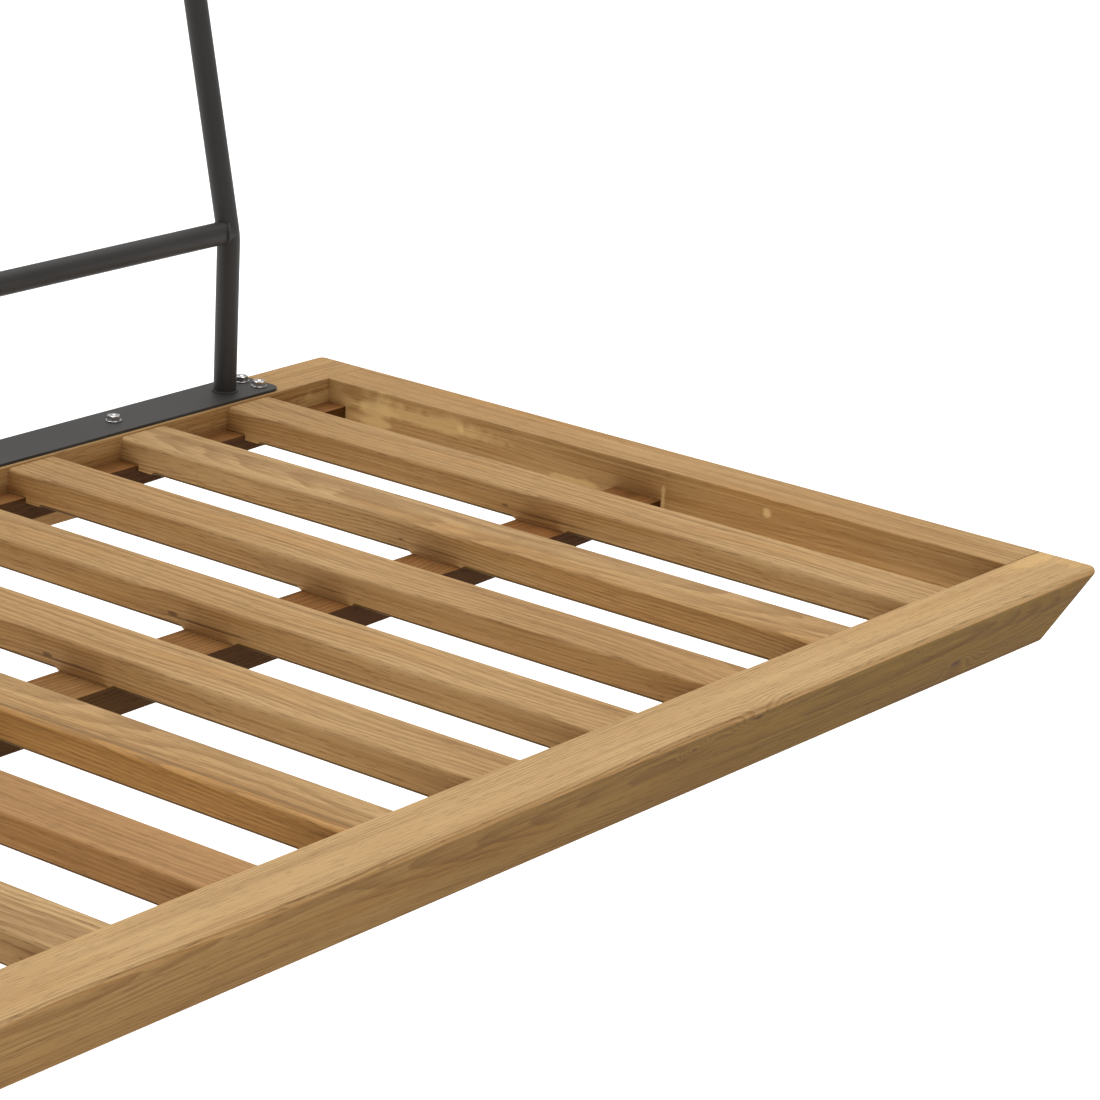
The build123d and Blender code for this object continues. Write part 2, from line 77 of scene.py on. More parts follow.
print("camera at", [round(v, 3) for v in eye.location], "lens", eye.data.lens)

# %% [markdown]
# ## The studio
# The swing hangs clear of a pale floor, at about seat height, so light comes back up through the
# slats. A very wide light above makes the tops bright, a weak soft box fills the front, and the
# white surroundings do the rest.

# %% Floor, surroundings and lights
SEAT_CLEARANCE = 0.60
FLOOR_REACH = 40.0
scene = bpy.context.scene
scene.view_settings.view_transform = "Standard"


def plain_material(name, colour, roughness, glow=0.0):
    """A material with one colour all over, for the floor."""
    made = bpy.data.materials.new(name)
    made.use_nodes = True
    shader = made.node_tree.nodes["Principled BSDF"]
    shader.inputs["Base Color"].default_value = (*colour, 1)
    shader.inputs["Roughness"].default_value = roughness
    shader.inputs["Emission Color"].default_value = (1, 1, 1, 1)
    shader.inputs["Emission Strength"].default_value = glow
    return made


def lamp(name, kind, place, target, power, spread):
    """A lamp that points at a target: a square area light, or a very soft sun."""
    light = bpy.data.lights.new(name, kind)
    light.energy = power
    if kind == "AREA":
        light.size = spread
    else:
        light.angle = math.radians(spread)
    holder = bpy.data.objects.new(name, light)
    holder.location = place
    holder.rotation_euler = (Vector(target) - Vector(place)).to_track_quat("-Z", "Y").to_euler()
    scene.collection.objects.link(holder)


floor_mesh = bpy.data.meshes.new("floor")
floor_corners = [(x * FLOOR_REACH, y * FLOOR_REACH) for x, y in ((-1, -1), (1, -1), (1, 1), (-1, 1))]
floor_mesh.from_pydata([(x, y, -SEAT_CLEARANCE) for x, y in floor_corners], [], [(0, 1, 2, 3)])
floor = bpy.data.objects.new("floor", floor_mesh)
scene.collection.objects.link(floor)
floor_mesh.materials.append(plain_material("pale floor", (0.92, 0.92, 0.92), 0.9, 0.28))

surroundings = bpy.data.worlds.new("studio")
surroundings.use_nodes = True
surroundings.node_tree.nodes["Background"].inputs["Color"].default_value = (1.0, 1.0, 1.0, 1)
surroundings.node_tree.nodes["Background"].inputs["Strength"].default_value = 0.52
scene.world = surroundings
lamp("wide soft light above", "SUN", (0.3, 0.8, 4.0), (0, 0, 0), 2.65, 75)
lamp("soft box in front", "AREA", (-1.4, -4.2, 1.5), (0, 0, 0), 8, 2.4)

# %% [markdown]
# ## Shader sums
# A finish is a sum: growth rings plus pores plus a few stains. This small class lets us write the
# sum the way we would on paper. Each operator adds one Math node behind the scenes.

# %% A socket that can be added and multiplied


class Wire:
    """One output socket, with arithmetic."""

    def __init__(self, bench, socket):
        self.bench, self.socket = bench, socket

    def _sum(self, operation, *values, clamp=False):
        return self.bench.node("Math", {"operation": operation, "use_clamp": clamp}, dict(enumerate(values)))

    def __add__(self, other):
        return self._sum("ADD", self, other)

    def __sub__(self, other):
        return self._sum("SUBTRACT", self, other)

    def __mul__(self, other):
        return self._sum("MULTIPLY", self, other)

    def __truediv__(self, other):
        return self._sum("DIVIDE", self, other)

    def __rsub__(self, other):
        return self._sum("SUBTRACT", other, self)

    __radd__, __rmul__ = __add__, __mul__

    def root(self):
        return self._sum("SQRT", self)

    def fraction(self):
        return self._sum("FRACT", self)

    def above(self, low, high):
        """0 below low, 1 above high and a smooth step between. High may be the lower number."""
        settings = {"interpolation_type": "SMOOTHSTEP"}
        return self.bench.node("MapRange", settings, {0: self, 1: low, 2: high})

    def larger(self, other):
        return self._sum("MAXIMUM", self, other)


class Bench:
    """A new node material with its shader, and one method that adds any other node."""

    def __init__(self, name):
        self.material = bpy.data.materials.new(name)
        self.material.use_nodes = True
        self.tree = self.material.node_tree
        self.shader = self.tree.nodes["Principled BSDF"]

    def node(self, kind, settings=None, values=None, output=0):
        """Adds a shader node, sets it up, fills or links its inputs and returns one output."""
        made = self.tree.nodes.new("ShaderNode" + kind)
        for key, value in (settings or {}).items():
            setattr(made, key, value)
        for key, value in (values or {}).items():
            self.fill(made.inputs[key], value)
        return Wire(self, made.outputs[output])

    def fill(self, socket, value):
        """Links a wire to a socket, or sets the socket's own value."""
        if isinstance(value, Wire):
            self.tree.links.new(value.socket, socket)
        else:
            socket.default_value = value

    def mix(self, mask, first, second):
        """Blends two colours."""
        colours = {0: mask, 6: first, 7: second}
        return self.node("Mix", {"data_type": "RGBA"}, colours, output=2)

    def tint(self, mask, colour, shade):
        """Darkens a colour through a coloured shade."""
        settings = {"data_type": "RGBA", "blend_type": "MULTIPLY"}
        return self.node("Mix", settings, {0: mask, 6: colour, 7: shade}, output=2)

    def noise(self, place, scale=1.0, detail=2.0, rough=0.5):
        """Smooth random values round 0.5."""
        values = {"Vector": place, "Scale": scale, "Detail": detail, "Roughness": rough}
        return self.node("TexNoise", {"noise_dimensions": "3D"}, values)

    def point(self, x, y, z):
        return self.node("CombineXYZ", {}, {0: x, 1: y, 2: z})

    def parts(self, vector):
        """The three parts of a vector."""
        made = self.tree.nodes.new("ShaderNodeSeparateXYZ")
        self.tree.links.new(vector.socket, made.inputs[0])
        return [Wire(self, made.outputs[i]) for i in range(3)]

    def bump(self, height, distance):
        return self.node("Bump", {}, {"Height": height, "Distance": distance}, output=0)

    def finish(self, **sockets):
        """Fills the shader's sockets; an underscore stands for a space."""
        for key, value in sockets.items():
            self.fill(self.shader.inputs[key.replace("_", " ")], value)
        return self.material


print("shader helpers ready")

# %% [markdown]
# ## Oiled teak
# A board is cut from a log, so its figure is a slice through growth rings. We measure how far each
# point lies from the log's heart and turn that distance into rings: pale spring wood that darkens
# to a thin summer line. The heart wanders along the board, and that alone draws the long pointed
# arches on a flat-sawn face and the curved bands on end grain. Fibres and open pores are
# noises that are stretched along the board. Heartwood bands, knots and dabs of pale filler come last.
# Undersides and the faces deep between the slats get painted shade: a darker, yellower tint, because
# daylight reaches them only after it has bounced off other wood. Tops are painted paler, as painted
# light from above, and upright faces are painted amber, as painted bounce light.

# %% Teak
SAPWOOD = (0.52, 0.345, 0.165, 1)
SPRING_WOOD = (0.375, 0.216, 0.084, 1)
AMBER_WOOD = (0.41, 0.200, 0.052, 1)
SUMMER_WOOD = (0.17, 0.074, 0.019, 1)
HEARTWOOD = (0.175, 0.080, 0.028, 1)
RED_WOOD = (0.34, 0.150, 0.055, 1)
STREAK = (0.150, 0.060, 0.018, 1)
# painted shade: tints that darken undersides, shaded sides, and the beam and bearers
UNDERSIDE_SHADE_TINT = (0.37, 0.33, 0.095, 1)
SHADED_TINT = (0.26, 0.23, 0.08, 1)
REDDISH_SHADE_TINT = (0.46, 0.30, 0.11, 1)
PORE = (0.075, 0.031, 0.010, 1)
KNOT = (0.060, 0.026, 0.011, 1)
FILLER = (0.60, 0.385, 0.155, 1)
RING_WIDTH = 0.0034
KNOT_SWIRL = 0.012
FIBRE_RELIEF = 0.00030
slat_half = (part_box("slat_01")[1].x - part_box("slat_01")[0].x) / 2


def blob(bench, place, centre, size):
    """Distance from a centre, in units of a size along each axis."""
    shifted = bench.node("VectorMath", {"operation": "SUBTRACT"}, {0: place, 1: centre})
    scaled = bench.node("VectorMath", {"operation": "DIVIDE"}, {0: shifted, 1: size})
    return bench.node("VectorMath", {"operation": "LENGTH"}, {0: scaled}, output=1)


def teak(
    name, along, heart, tone=0.0, per_board=False, knots=(), filler=(), heart_band=0.35, figure=0.42,
    side_shade=0.0, red=0.0, painted_bounce_warmth=0.30, painted_top_light=0.20,
):
    """Teak whose grain runs along X or Y, cut at a given place from the log's heart.

    Tone is how pale it is, figure how strong its rings are, and heart_band how dark its bands.
    One amount pales the faces that look up, as painted light from above, and another ambers the
    upright faces, as painted bounce light. side_shade paints shade on wood that lies under other wood,
    and red mixes in patches of red wood. With per_board, each board of a row has its own cut and tone.
    """
    bench = Bench(name)
    source = bench.node("TexCoord", output=3)
    facing = bench.parts(bench.node("NewGeometry", output=3))[2]
    if per_board:
        local = bench.node("Attribute", {"attribute_name": "board place"}, output=1)
        chance = bench.node("Attribute", {"attribute_name": "board chance"}, output=2)
    else:
        local, chance = source, None
    x, y, z = bench.parts(local)
    run, side = (x, y) if along == "X" else (y, x)
    seed = 0.0 if chance is None else chance * 9.0
    shift = 0.0 if chance is None else (chance - 0.5) * 0.16
    run = run + seed

    def lines(length, width, detail=2.0, start=0.0):
        """Noise whose patches are so many metres long and wide."""
        stretched = bench.point(run / length + start, side / width, z / width)
        return bench.noise(stretched, 1.0, detail, 0.55)

    # growth rings, which wander and bend round knots
    sway_up = lines(0.90, 0.40) - 0.5
    sway_side = lines(1.10, 0.50, 1.0, 7.0) - 0.5
    ripple = lines(0.10, 0.020) - 0.5
    streak = lines(0.42, 0.0085, 4.0, 5.0)
    out_side = side - heart[0] + shift + sway_side * 0.10
    out_up = z - heart[1] + sway_up * 0.08
    from_heart = (out_side * out_side + out_up * out_up).root() + ripple * 0.0042
    knot_mask = None
    for centre, size in knots:
        near = blob(bench, local, centre, size)
        if per_board:
            near = near + chance * 0.9 + (ripple + 0.5 - streak) * 3.0 - 0.2
        else:
            from_heart = from_heart + near.above(5.0, 0.6) * KNOT_SWIRL
        mask = near.above(1.15, 0.55)
        knot_mask = mask if knot_mask is None else knot_mask.larger(mask)
    rings = (from_heart / RING_WIDTH).fraction()
    clearness = lines(0.30, 0.022, 2.0, 3.0).above(0.30, 0.58)
    summer = rings.above(0.20, 0.90) * rings.above(1.0, 0.94) * clearness

    # soft patches first, then ever finer fibres and pores
    cloud = lines(0.55, 0.110, 3.0, 3.0)
    band = lines(1.40, 0.040, 2.0, 11.0)
    amber = lines(0.45, 0.055, 2.0, 19.0)
    thread = lines(0.16, 0.0026, 3.0, 13.0)
    fibre = lines(0.060, 0.0013, 2.0, 17.0)
    hairline = lines(0.30, 0.0015, 1.0, 37.0).above(0.66, 0.73)
    pore = lines(0.024, 0.0011, 1.0, 23.0).above(0.635, 0.72)
    fleck = lines(0.034, 0.0022, 1.0, 29.0).above(0.70, 0.76)

    # ground colour
    lightness = cloud + (tone - 0.5) if chance is None else cloud + chance * 0.60 + (tone - 0.80)
    base = bench.mix(lightness.above(0.22, 0.84), SPRING_WOOD, SAPWOOD)
    base = bench.mix(amber.above(0.50, 0.72) * 0.55, base, AMBER_WOOD)
    if red:
        base = bench.mix(cloud.above(0.75, 0.35) * red, base, RED_WOOD)
    if chance is not None:
        base = bench.mix(chance.above(0.40, 0.15) * 0.55, base, RED_WOOD)
        # one board of the row has an amber edge behind a dark line
        edge = side + slat_half - 0.007 + sway_side * 0.020
        two_tone = chance.above(0.475, 0.490) * chance.above(0.515, 0.505)
        base = bench.mix(edge.above(0.003, -0.001) * two_tone * 0.85, base, AMBER_WOOD)
        stripe = edge.above(-0.0020, 0.0005) * edge.above(0.0075, 0.0020)
        base = bench.mix(stripe * two_tone * 0.80, base, PORE)
    # rings, bands, fibres and pores over it
    colour = bench.mix(summer * figure, base, SUMMER_WOOD)
    colour = bench.mix(band.above(0.55, 0.66) * heart_band, colour, HEARTWOOD)
    colour = bench.mix(streak.above(0.50, 0.74) * 0.52, colour, STREAK)
    colour = bench.mix(thread.above(0.48, 0.76) * (clearness * 0.45 + 0.28), colour, SUMMER_WOOD)
    colour = bench.mix(hairline * 0.62, colour, HEARTWOOD)
    colour = bench.mix(thread.above(0.50, 0.24) * 0.30, colour, SAPWOOD)
    colour = bench.mix((fibre - 0.32) * 0.62, colour, SUMMER_WOOD)
    colour = bench.mix(pore * 0.50, colour, PORE)
    colour = bench.mix(fleck * 0.45, colour, PORE)
    # painted light: a paler top from light above, amber upright faces from bounce light, then painted shade
    # on undersides
    colour = bench.mix(facing.above(0.55, 0.98) * painted_top_light, colour, SAPWOOD)
    colour = bench.mix(facing.above(0.65, 0.10) * painted_bounce_warmth, colour, AMBER_WOOD)
    under = SHADED_TINT if per_board or side_shade else UNDERSIDE_SHADE_TINT
    shade = facing.above(-0.10, -0.42)
    # painted shade under the long rails is half as strong at the low-X end
    if along == "X" and not side_shade:
        shade = shade * (run.above(-0.60, 0.75) * 0.50 + 0.50)
    colour = bench.tint(shade, colour, under)
    # painted shade: the beam and bearers darkened all over through a reddish tint, and their sides and
    # undersides darker still
    if side_shade:
        colour = bench.tint(cloud.above(0.90, 0.10) * 0.30 + 0.60, colour, REDDISH_SHADE_TINT)
        colour = bench.tint(facing.above(0.80, 0.20) * side_shade, colour, SHADED_TINT)
    # dabs of filler, then knots
    for centre, size, strength in filler:
        frayed = blob(bench, source, centre, size) + (bench.noise(source, 45.0, 5.0) - 0.5) * 2.2
        frayed = frayed + (streak - 0.5) * 2.4
        colour = bench.mix(frayed.above(1.30, 0.45) * strength, colour, FILLER)
    if knot_mask is not None:
        colour = bench.mix(knot_mask * (0.60 if per_board else 0.90), colour, KNOT)
    relief = fibre * 0.4 - pore * 0.8 - fleck * 0.8 - summer * 0.35 - thread * 0.5
    bench.shader.inputs["Specular IOR Level"].default_value = 0.10
    fine = bench.bump(relief, FIBRE_RELIEF)
    return bench.finish(Base_Color=colour, Roughness=fibre * 0.16 + 0.58, Normal=fine)


print("ring width", RING_WIDTH, "slat width", round(2 * slat_half, 4))

# %% [markdown]
# ## Marks in the boards
# Real boards have a few knots, and the maker fills gaps at the joints with a paste of glue and
# sanding dust. A mark is a stretched ball: a centre and a size on each axis, in metres. Frayed
# edges come from noise. Positions are measured from the faces of the rails they sit in. The slats
# also have a short dark mark and a thin dark line on each side, next to the beam.

# %% Knots and filler
MM = 0.001
front_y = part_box("front_rail")[0].y
end_inner_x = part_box("right_end_rail")[0].x
front_face_knots = [
    ((0.446, front_y + 0.006, 0.066), (0.010, 0.006, 0.0032)),
    ((0.357, front_y + 0.010, 0.058), (0.006, 0.006, 0.0026)),
    ((0.700, front_y + 0.008, 0.063), (0.005, 0.006, 0.0022)),
    ((0.800, front_y + 0.028, 0.022), (0.011, 0.010, 0.0040)),
]
end_rail_filler = [
    ((end_inner_x, 0.221, 0.061), (0.006, 0.005, 0.004), 0.9),
    ((end_inner_x, -0.185, 0.061), (0.006, 0.006, 0.004), 0.9),
    ((end_inner_x, 0.262, 0.060), (0.006, 0.075, 0.010), 0.62),
    ((end_inner_x, 0.345, 0.052), (0.006, 0.022, 0.022), 0.70),
    ((end_inner_x, 0.400, 0.056), (0.006, 0.030, 0.014), 0.50),
    ((end_inner_x, 0.060, 0.036), (0.006, 0.030, 0.006), 0.60),
    ((end_inner_x, -0.053, 0.048), (0.006, 0.0025, 0.016), 0.75),
    ((end_inner_x, -0.022, 0.040), (0.006, 0.026, 0.004), 0.65),
    ((end_inner_x, 0.0, 0.0695), (0.006, 0.60, 0.0006), 0.30),
]
front_rail_filler = [
    ((0.975, front_y + 0.052, 0.077), (0.050, 0.012, 0.004), 0.55),
    ((0.996, front_y + 0.030, 0.077), (0.010, 0.030, 0.004), 0.45),
]
rear_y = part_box("slat_01")[1].y
rear_rail_filler = [((end_inner_x - 0.020, rear_y, 0.052), (0.040, 0.020, 0.020), 0.70)]
for slat in range(1, 12):
    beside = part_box(f"slat_{slat:02d}")[1].x
    rear_rail_filler.append(((beside + 0.010, rear_y, 0.050), (0.014, 0.020, 0.020), 0.55))
saddle_marks = []
for side in (-1, 1):
    edge = side * slat_half
    saddle_marks.append(((edge, 0.0265, 0.0560), (0.003, 0.0042, 0.0016)))
    saddle_marks.append(((edge, -0.0180, 0.0536), (0.003, 0.0450, 0.0007)))
print("knots", len(front_face_knots), "filler", len(end_rail_filler + front_rail_filler + rear_rail_filler))

# %% [markdown]
# ## Which board comes from where in the log
# The front rail is cut just outside the heart, so its leaning face shows pointed arches and its
# top shows straight lines. The other rails come from further out. The beam and bearers are red, dark,
# strongly figured boards under the seat, and their finish darkens them further with painted shade.
# All eleven slats share one finish, which reads each slat's own random number.

# %% Teak for each board
# the front rail's top gets the strongest painted light from above
teak_front = teak(
    "teak front rail", "X", (front_y - 0.055, 0.030), 0.62, knots=front_face_knots, filler=front_rail_filler,
    figure=0.62, painted_top_light=0.42,
)
teak_rear = teak("teak rear rail", "X", (0.62, -0.20), 0.42, filler=rear_rail_filler)
teak_right = teak("teak right end rail", "Y", (1.10, -0.14), 0.50, filler=end_rail_filler)
teak_left = teak("teak left end rail", "Y", (-0.90, 0.30), 0.45)
teak_under = teak(
    "teak beam and bearers", "X", (0.05, -0.11), 0.20, heart_band=0.9, figure=0.90, side_shade=0.92, red=0.85
)
teak_slats = teak(
    "teak slats", "Y", (0.02, -0.07), 0.52, per_board=True, knots=saddle_marks, heart_band=0.60, figure=0.60
)


def dress(nodes, material):
    """Gives CAD pieces a finish of their own."""
    for name in nodes:
        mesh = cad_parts[name].data
        mesh.materials.clear()
        mesh.materials.append(material)


dress(["front_rail", "tenon_pins"], teak_front)
dress(["rear_rail"], teak_rear)
dress(["right_end_rail"], teak_right)
dress(["left_end_rail"], teak_left)
dress(["front_bearer", "rear_bearer", "centre_beam"], teak_under)
print("teak finishes", [m.name for m in bpy.data.materials if m.name.startswith("teak")])

# %% [markdown]
# ## Metal finishes
# The tubes have a charcoal powder coat, which cures with a very fine orange peel. Bolts,
# eyes and shackles are bright stainless steel with faint turning marks. Inserts, bushes and barrel
# nuts are plain brass.

# %% Powder coat, stainless steel and brass


def powder_coat():
    bench = Bench("charcoal powder coat")
    place = bench.node("TexCoord", output=3)
    peel = bench.noise(place, 1500.0, 2.0)
    cloud = bench.noise(place, 9.0, 3.0)
    colour = bench.mix(cloud.above(0.2, 0.8), (0.024, 0.022, 0.020, 1), (0.034, 0.031, 0.029, 1))
    bench.shader.inputs["Specular IOR Level"].default_value = 0.35
    return bench.finish(
        Base_Color=colour, Roughness=peel * 0.16 + 0.44, Normal=bench.bump(peel, 0.00012)
    )


def bare_metal(name, colour, roughness):
    """Bright metal with fine random scratches and duller patches."""
    bench = Bench(name)
    place = bench.node("TexCoord", output=3)
    x, y, z = bench.parts(place)
    marks = bench.noise(bench.point(x * 300.0, y * 300.0, z * 4000.0), 1.0, 2.0)
    cloud = bench.noise(place, 120.0, 2.0)
    dull = tuple(0.75 * c for c in colour)
    shade = bench.mix(cloud.above(0.35, 0.75), (*colour, 1), (*dull, 1))
    bench.shader.inputs["Metallic"].default_value = 1.0
    return bench.finish(
        Base_Color=shade, Roughness=marks * 0.15 + roughness, Normal=bench.bump(marks, 0.00003)
    )


coat = powder_coat()
stainless = bare_metal("stainless steel", (0.66, 0.65, 0.63), 0.16)
screw_steel = bare_metal("screw steel", (0.55, 0.54, 0.51), 0.24)
brass = bare_metal("turned brass", (0.70, 0.50, 0.22), 0.22)
tubes = ["base_bar", "left_upright", "right_upright", "crossbar", "top_rail"]
tubes += ["centre_post_lower", "centre_post_upper"]
dress(tubes, coat)
dress(["eye_bolts", "wedge_washers"], stainless)
dress([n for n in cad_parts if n.startswith("shackle")], stainless)
dress(["frame_inserts", "eye_bushes", "barrel_nuts"], brass)
print("coated nodes", len(tubes))

# %% [markdown]
# ## One tree for every row
# Slats, bolts, washers and screws all stand in straight, even rows. So we build one Geometry Nodes
# tree for a row: a line of points, one pattern piece on each, and a random quarter turn for the
# ones that a spanner or driver leaves at any angle. It also stores one random number for each
# piece, which the teak reads, so no two slats look alike.

# %% The row tree
TURN_SEED, CHANCE_SEED = 7, 23
SHARP_EDGE = math.radians(32)


def row_tree():
    """A tree that lays a pattern piece along a line, with named inputs."""
    tree = bpy.data.node_groups.new("row of pieces", "GeometryNodeTree")
    face = tree.interface
    for label, kind in (
        ("Pattern", "NodeSocketObject"), ("Count", "NodeSocketInt"), ("Start", "NodeSocketVector"),
        ("Step", "NodeSocketVector"), ("Turn", "NodeSocketFloat"), ("Finish", "NodeSocketMaterial"),
    ):
        face.new_socket(name=label, in_out="INPUT", socket_type=kind)
    face.new_socket(name="Geometry", in_out="OUTPUT", socket_type="NodeSocketGeometry")

    def add(kind, settings=None, **links):
        made = tree.nodes.new(kind)
        for key, value in (settings or {}).items():
            setattr(made, key, value)
        for key, value in links.items():
            numbered = key[0] == "i" and key[1:].isdigit()
            socket = made.inputs[int(key[1:]) if numbered else key.replace("_", " ")]
            if isinstance(value, bpy.types.NodeSocket):
                tree.links.new(value, socket)
            else:
                socket.default_value = value
        return made

    given = add("NodeGroupInput").outputs
    line = add("GeometryNodeMeshLine", {"mode": "OFFSET"}, Count=given["Count"],
               Start_Location=given["Start"], Offset=given["Step"])
    pattern = add("GeometryNodeObjectInfo", {"transform_space": "ORIGINAL"}, Object=given["Pattern"])
    number = add("GeometryNodeInputIndex").outputs[0]
    spin = add("FunctionNodeRandomValue", {"data_type": "FLOAT"}, i2=0.0, i3=1.0, ID=number, Seed=TURN_SEED)
    angle = add("ShaderNodeMath", {"operation": "MULTIPLY"}, i0=spin.outputs[1], i1=given["Turn"])
    twist = add("ShaderNodeCombineXYZ", None, Z=angle.outputs[0])
    rotation = add("FunctionNodeEulerToRotation", None, Euler=twist.outputs[0])
    chance = add("FunctionNodeRandomValue", {"data_type": "FLOAT"}, i2=0.0, i3=1.0, ID=number,
                 Seed=CHANCE_SEED)
    placed = add("GeometryNodeInstanceOnPoints", None, Points=line.outputs[0],
                 Instance=pattern.outputs["Geometry"], Rotation=rotation.outputs[0])
    marked = add("GeometryNodeStoreNamedAttribute", {"data_type": "FLOAT", "domain": "INSTANCE"},
                 Geometry=placed.outputs[0], Name="board chance", Value=chance.outputs[1])
    real = add("GeometryNodeRealizeInstances", None, Geometry=marked.outputs[0])
    done = add("GeometryNodeSetMaterial", None, Geometry=real.outputs[0], Material=given["Finish"])
    out = add("NodeGroupOutput")
    tree.links.new(done.outputs[0], out.inputs[0])
    return tree


ROW = row_tree()


def run_tree(name, tree, values):
    """Runs a Geometry Nodes tree on an empty mesh and returns the plain mesh that it makes."""
    holder = bpy.data.objects.new(name, bpy.data.meshes.new(name))
    bpy.context.scene.collection.objects.link(holder)
    modifier = holder.modifiers.new(name, "NODES")
    modifier.node_group = tree
    sockets = {s.name: s.identifier for s in tree.interface.items_tree if s.in_out == "INPUT"}
    for label, value in values.items():
        modifier[sockets[label]] = value
    holder.update_tag()
    bpy.context.view_layer.update()
    made = bpy.data.meshes.new_from_object(holder.evaluated_get(bpy.context.evaluated_depsgraph_get()))
    holder.modifiers.clear()
    bpy.data.objects.remove(holder)
    return made


def join(name, meshes, body, nodes, material):
    """Puts several meshes into one object that stands for some CAD nodes."""
    piece = bpy.data.objects.new(name, meshes[0])
    bpy.context.scene.collection.objects.link(piece)
    others = []
    for mesh in meshes[1:]:
        extra = bpy.data.objects.new(name + " extra", mesh)
        bpy.context.scene.collection.objects.link(extra)
        others.append(extra)
    if others:
        bpy.ops.object.select_all(action="DESELECT")
        for each in [piece, *others]:
            each.select_set(True)
        bpy.context.view_layer.objects.active = piece
        bpy.ops.object.join()
    piece.data.materials.clear()
    piece.data.materials.append(material)
    piece.data.polygons.foreach_set("material_index", [0] * len(piece.data.polygons))
    piece.data.update()
    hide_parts(*nodes)
    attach(piece, body)
    print(name, "triangles", sum(len(p.vertices) - 2 for p in piece.data.polygons))
    return piece


def hide_pattern(name, mesh):
    """A pattern piece that the row tree copies; it is removed once the rows are made."""
    pattern = bpy.data.objects.new(name, mesh)
    bpy.context.scene.collection.objects.link(pattern)
    return pattern


def skin_rings(name, rings, closed_ends=True):
    """A mesh through a stack of rings that all have the same number of points."""
    count = len(rings[0])
    corners = [tuple(p) for ring in rings for p in ring]
    faces = []
    for i in range(len(rings) - 1):
        for j in range(count):
            k = (j + 1) % count
            faces.append((i * count + j, i * count + k, (i + 1) * count + k, (i + 1) * count + j))
    if closed_ends:
        faces.append(tuple(reversed(range(count))))
        faces.append(tuple((len(rings) - 1) * count + j for j in range(count)))
    mesh = bpy.data.meshes.new(name)
    mesh.from_pydata(corners, [], faces)
    mesh.validate()
    shell = bmesh.new()
    shell.from_mesh(mesh)
    bmesh.ops.recalc_face_normals(shell, faces=shell.faces)
    shell.to_mesh(mesh)
    shell.free()
    mesh.polygons.foreach_set("use_smooth", [True] * len(mesh.polygons))
    mesh.set_sharp_from_angle(angle=SHARP_EDGE)
    return mesh


print("row tree nodes", len(ROW.nodes))

# %% [markdown]
# ## The slats
# Each slat is a teak board with rounded long edges. A router with two stops rounds its lower
# edges, so they stay square where the slat meets the beam and the two bearers, and the cutter
# leaves a scooped run-out at each stop. Its ends step down over the bearers. We loft one slat
# through rings, with a lower radius that changes along it, and let the row tree lay eleven.

# %% One slat
slat_low, slat_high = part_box("slat_01")
beam_low, beam_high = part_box("centre_beam")
bearer_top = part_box("front_bearer")[1].z
bearer_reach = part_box("front_bearer")[1].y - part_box("front_bearer")[0].y
SLAT_ROUND = 5.0 * MM
SLAT_SHARP = 0.5 * MM
PLAIN_END = 44 * MM
PLAIN_MIDDLE = 1 * MM
slat_middle = (slat_low.x + slat_high.x) / 2


def slat_section(y, bottom, lower_round, steps=6):
    """Points round one slat where it crosses y, with its lower corners rounded by lower_round."""
    points = []
    corners = (
        (slat_half, slat_high.z, SLAT_ROUND, 0), (-slat_half, slat_high.z, SLAT_ROUND, 90),
        (-slat_half, bottom, lower_round, 180), (slat_half, bottom, lower_round, 270),
    )
    for corner_x, corner_z, size, start in corners:
        middle_x = corner_x - math.copysign(size, corner_x)
        middle_z = corner_z - size if start < 180 else corner_z + size
        for step in range(steps + 1):
            angle = math.radians(start + 90 * step / steps)
            points.append((middle_x + size * math.cos(angle), y, middle_z + size * math.sin(angle)))
    return points


def slat_stations():
    """Places along the slat where its section changes."""
    front, rear = slat_low.y, slat_high.y
    bottom = beam_high.z
    made = [(front, bearer_top, SLAT_SHARP), (front + bearer_reach, bearer_top, SLAT_SHARP),
            (front + bearer_reach, bottom, SLAT_SHARP)]
    runs = (
        (front + PLAIN_END, beam_low.y - PLAIN_MIDDLE), (beam_high.y + PLAIN_MIDDLE, rear - PLAIN_END)
    )
    run_out = 1.2 * SLAT_ROUND

    def scoop(part):
        """How round the lower edge is, part of the way up a run-out."""
        return SLAT_SHARP + (SLAT_ROUND - SLAT_SHARP) * math.sin(part * math.pi / 2)

    for start, end in runs:
        for step in range(7):
            part = step / 6
            made.append((start + run_out * part, bottom, scoop(part)))
        for step in range(1, 12):
            made.append((start + run_out + (end - start - 2 * run_out) * step / 12, bottom, SLAT_ROUND))
        for step in range(7):
            part = 1 - step / 6
            made.append((end - run_out * part, bottom, scoop(part)))
    made += [(rear - bearer_reach, bottom, SLAT_SHARP), (rear - bearer_reach, bearer_top, SLAT_SHARP),
             (rear, bearer_top, SLAT_SHARP)]
    return made


slat_mesh = skin_rings("slat", [slat_section(*station) for station in slat_stations()])
places = slat_mesh.attributes.new("board place", "FLOAT_VECTOR", "POINT")
for index, corner in enumerate(slat_mesh.vertices):
    places.data[index].vector = corner.co
slat_nodes = sorted(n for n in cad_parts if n.startswith("slat_") and n[5:].isdigit())
next_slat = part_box("slat_02")[0].x - slat_low.x
slat_pattern = hide_pattern("slat pattern", slat_mesh)
slat_rows = run_tree("slats", ROW, {
    "Pattern": slat_pattern, "Count": len(slat_nodes), "Start": (slat_middle, 0, 0),
    "Step": (next_slat, 0, 0), "Turn": 0.0, "Finish": teak_slats,
})
bpy.data.objects.remove(slat_pattern)
join("slats", [slat_rows], "platform", slat_nodes, teak_slats)

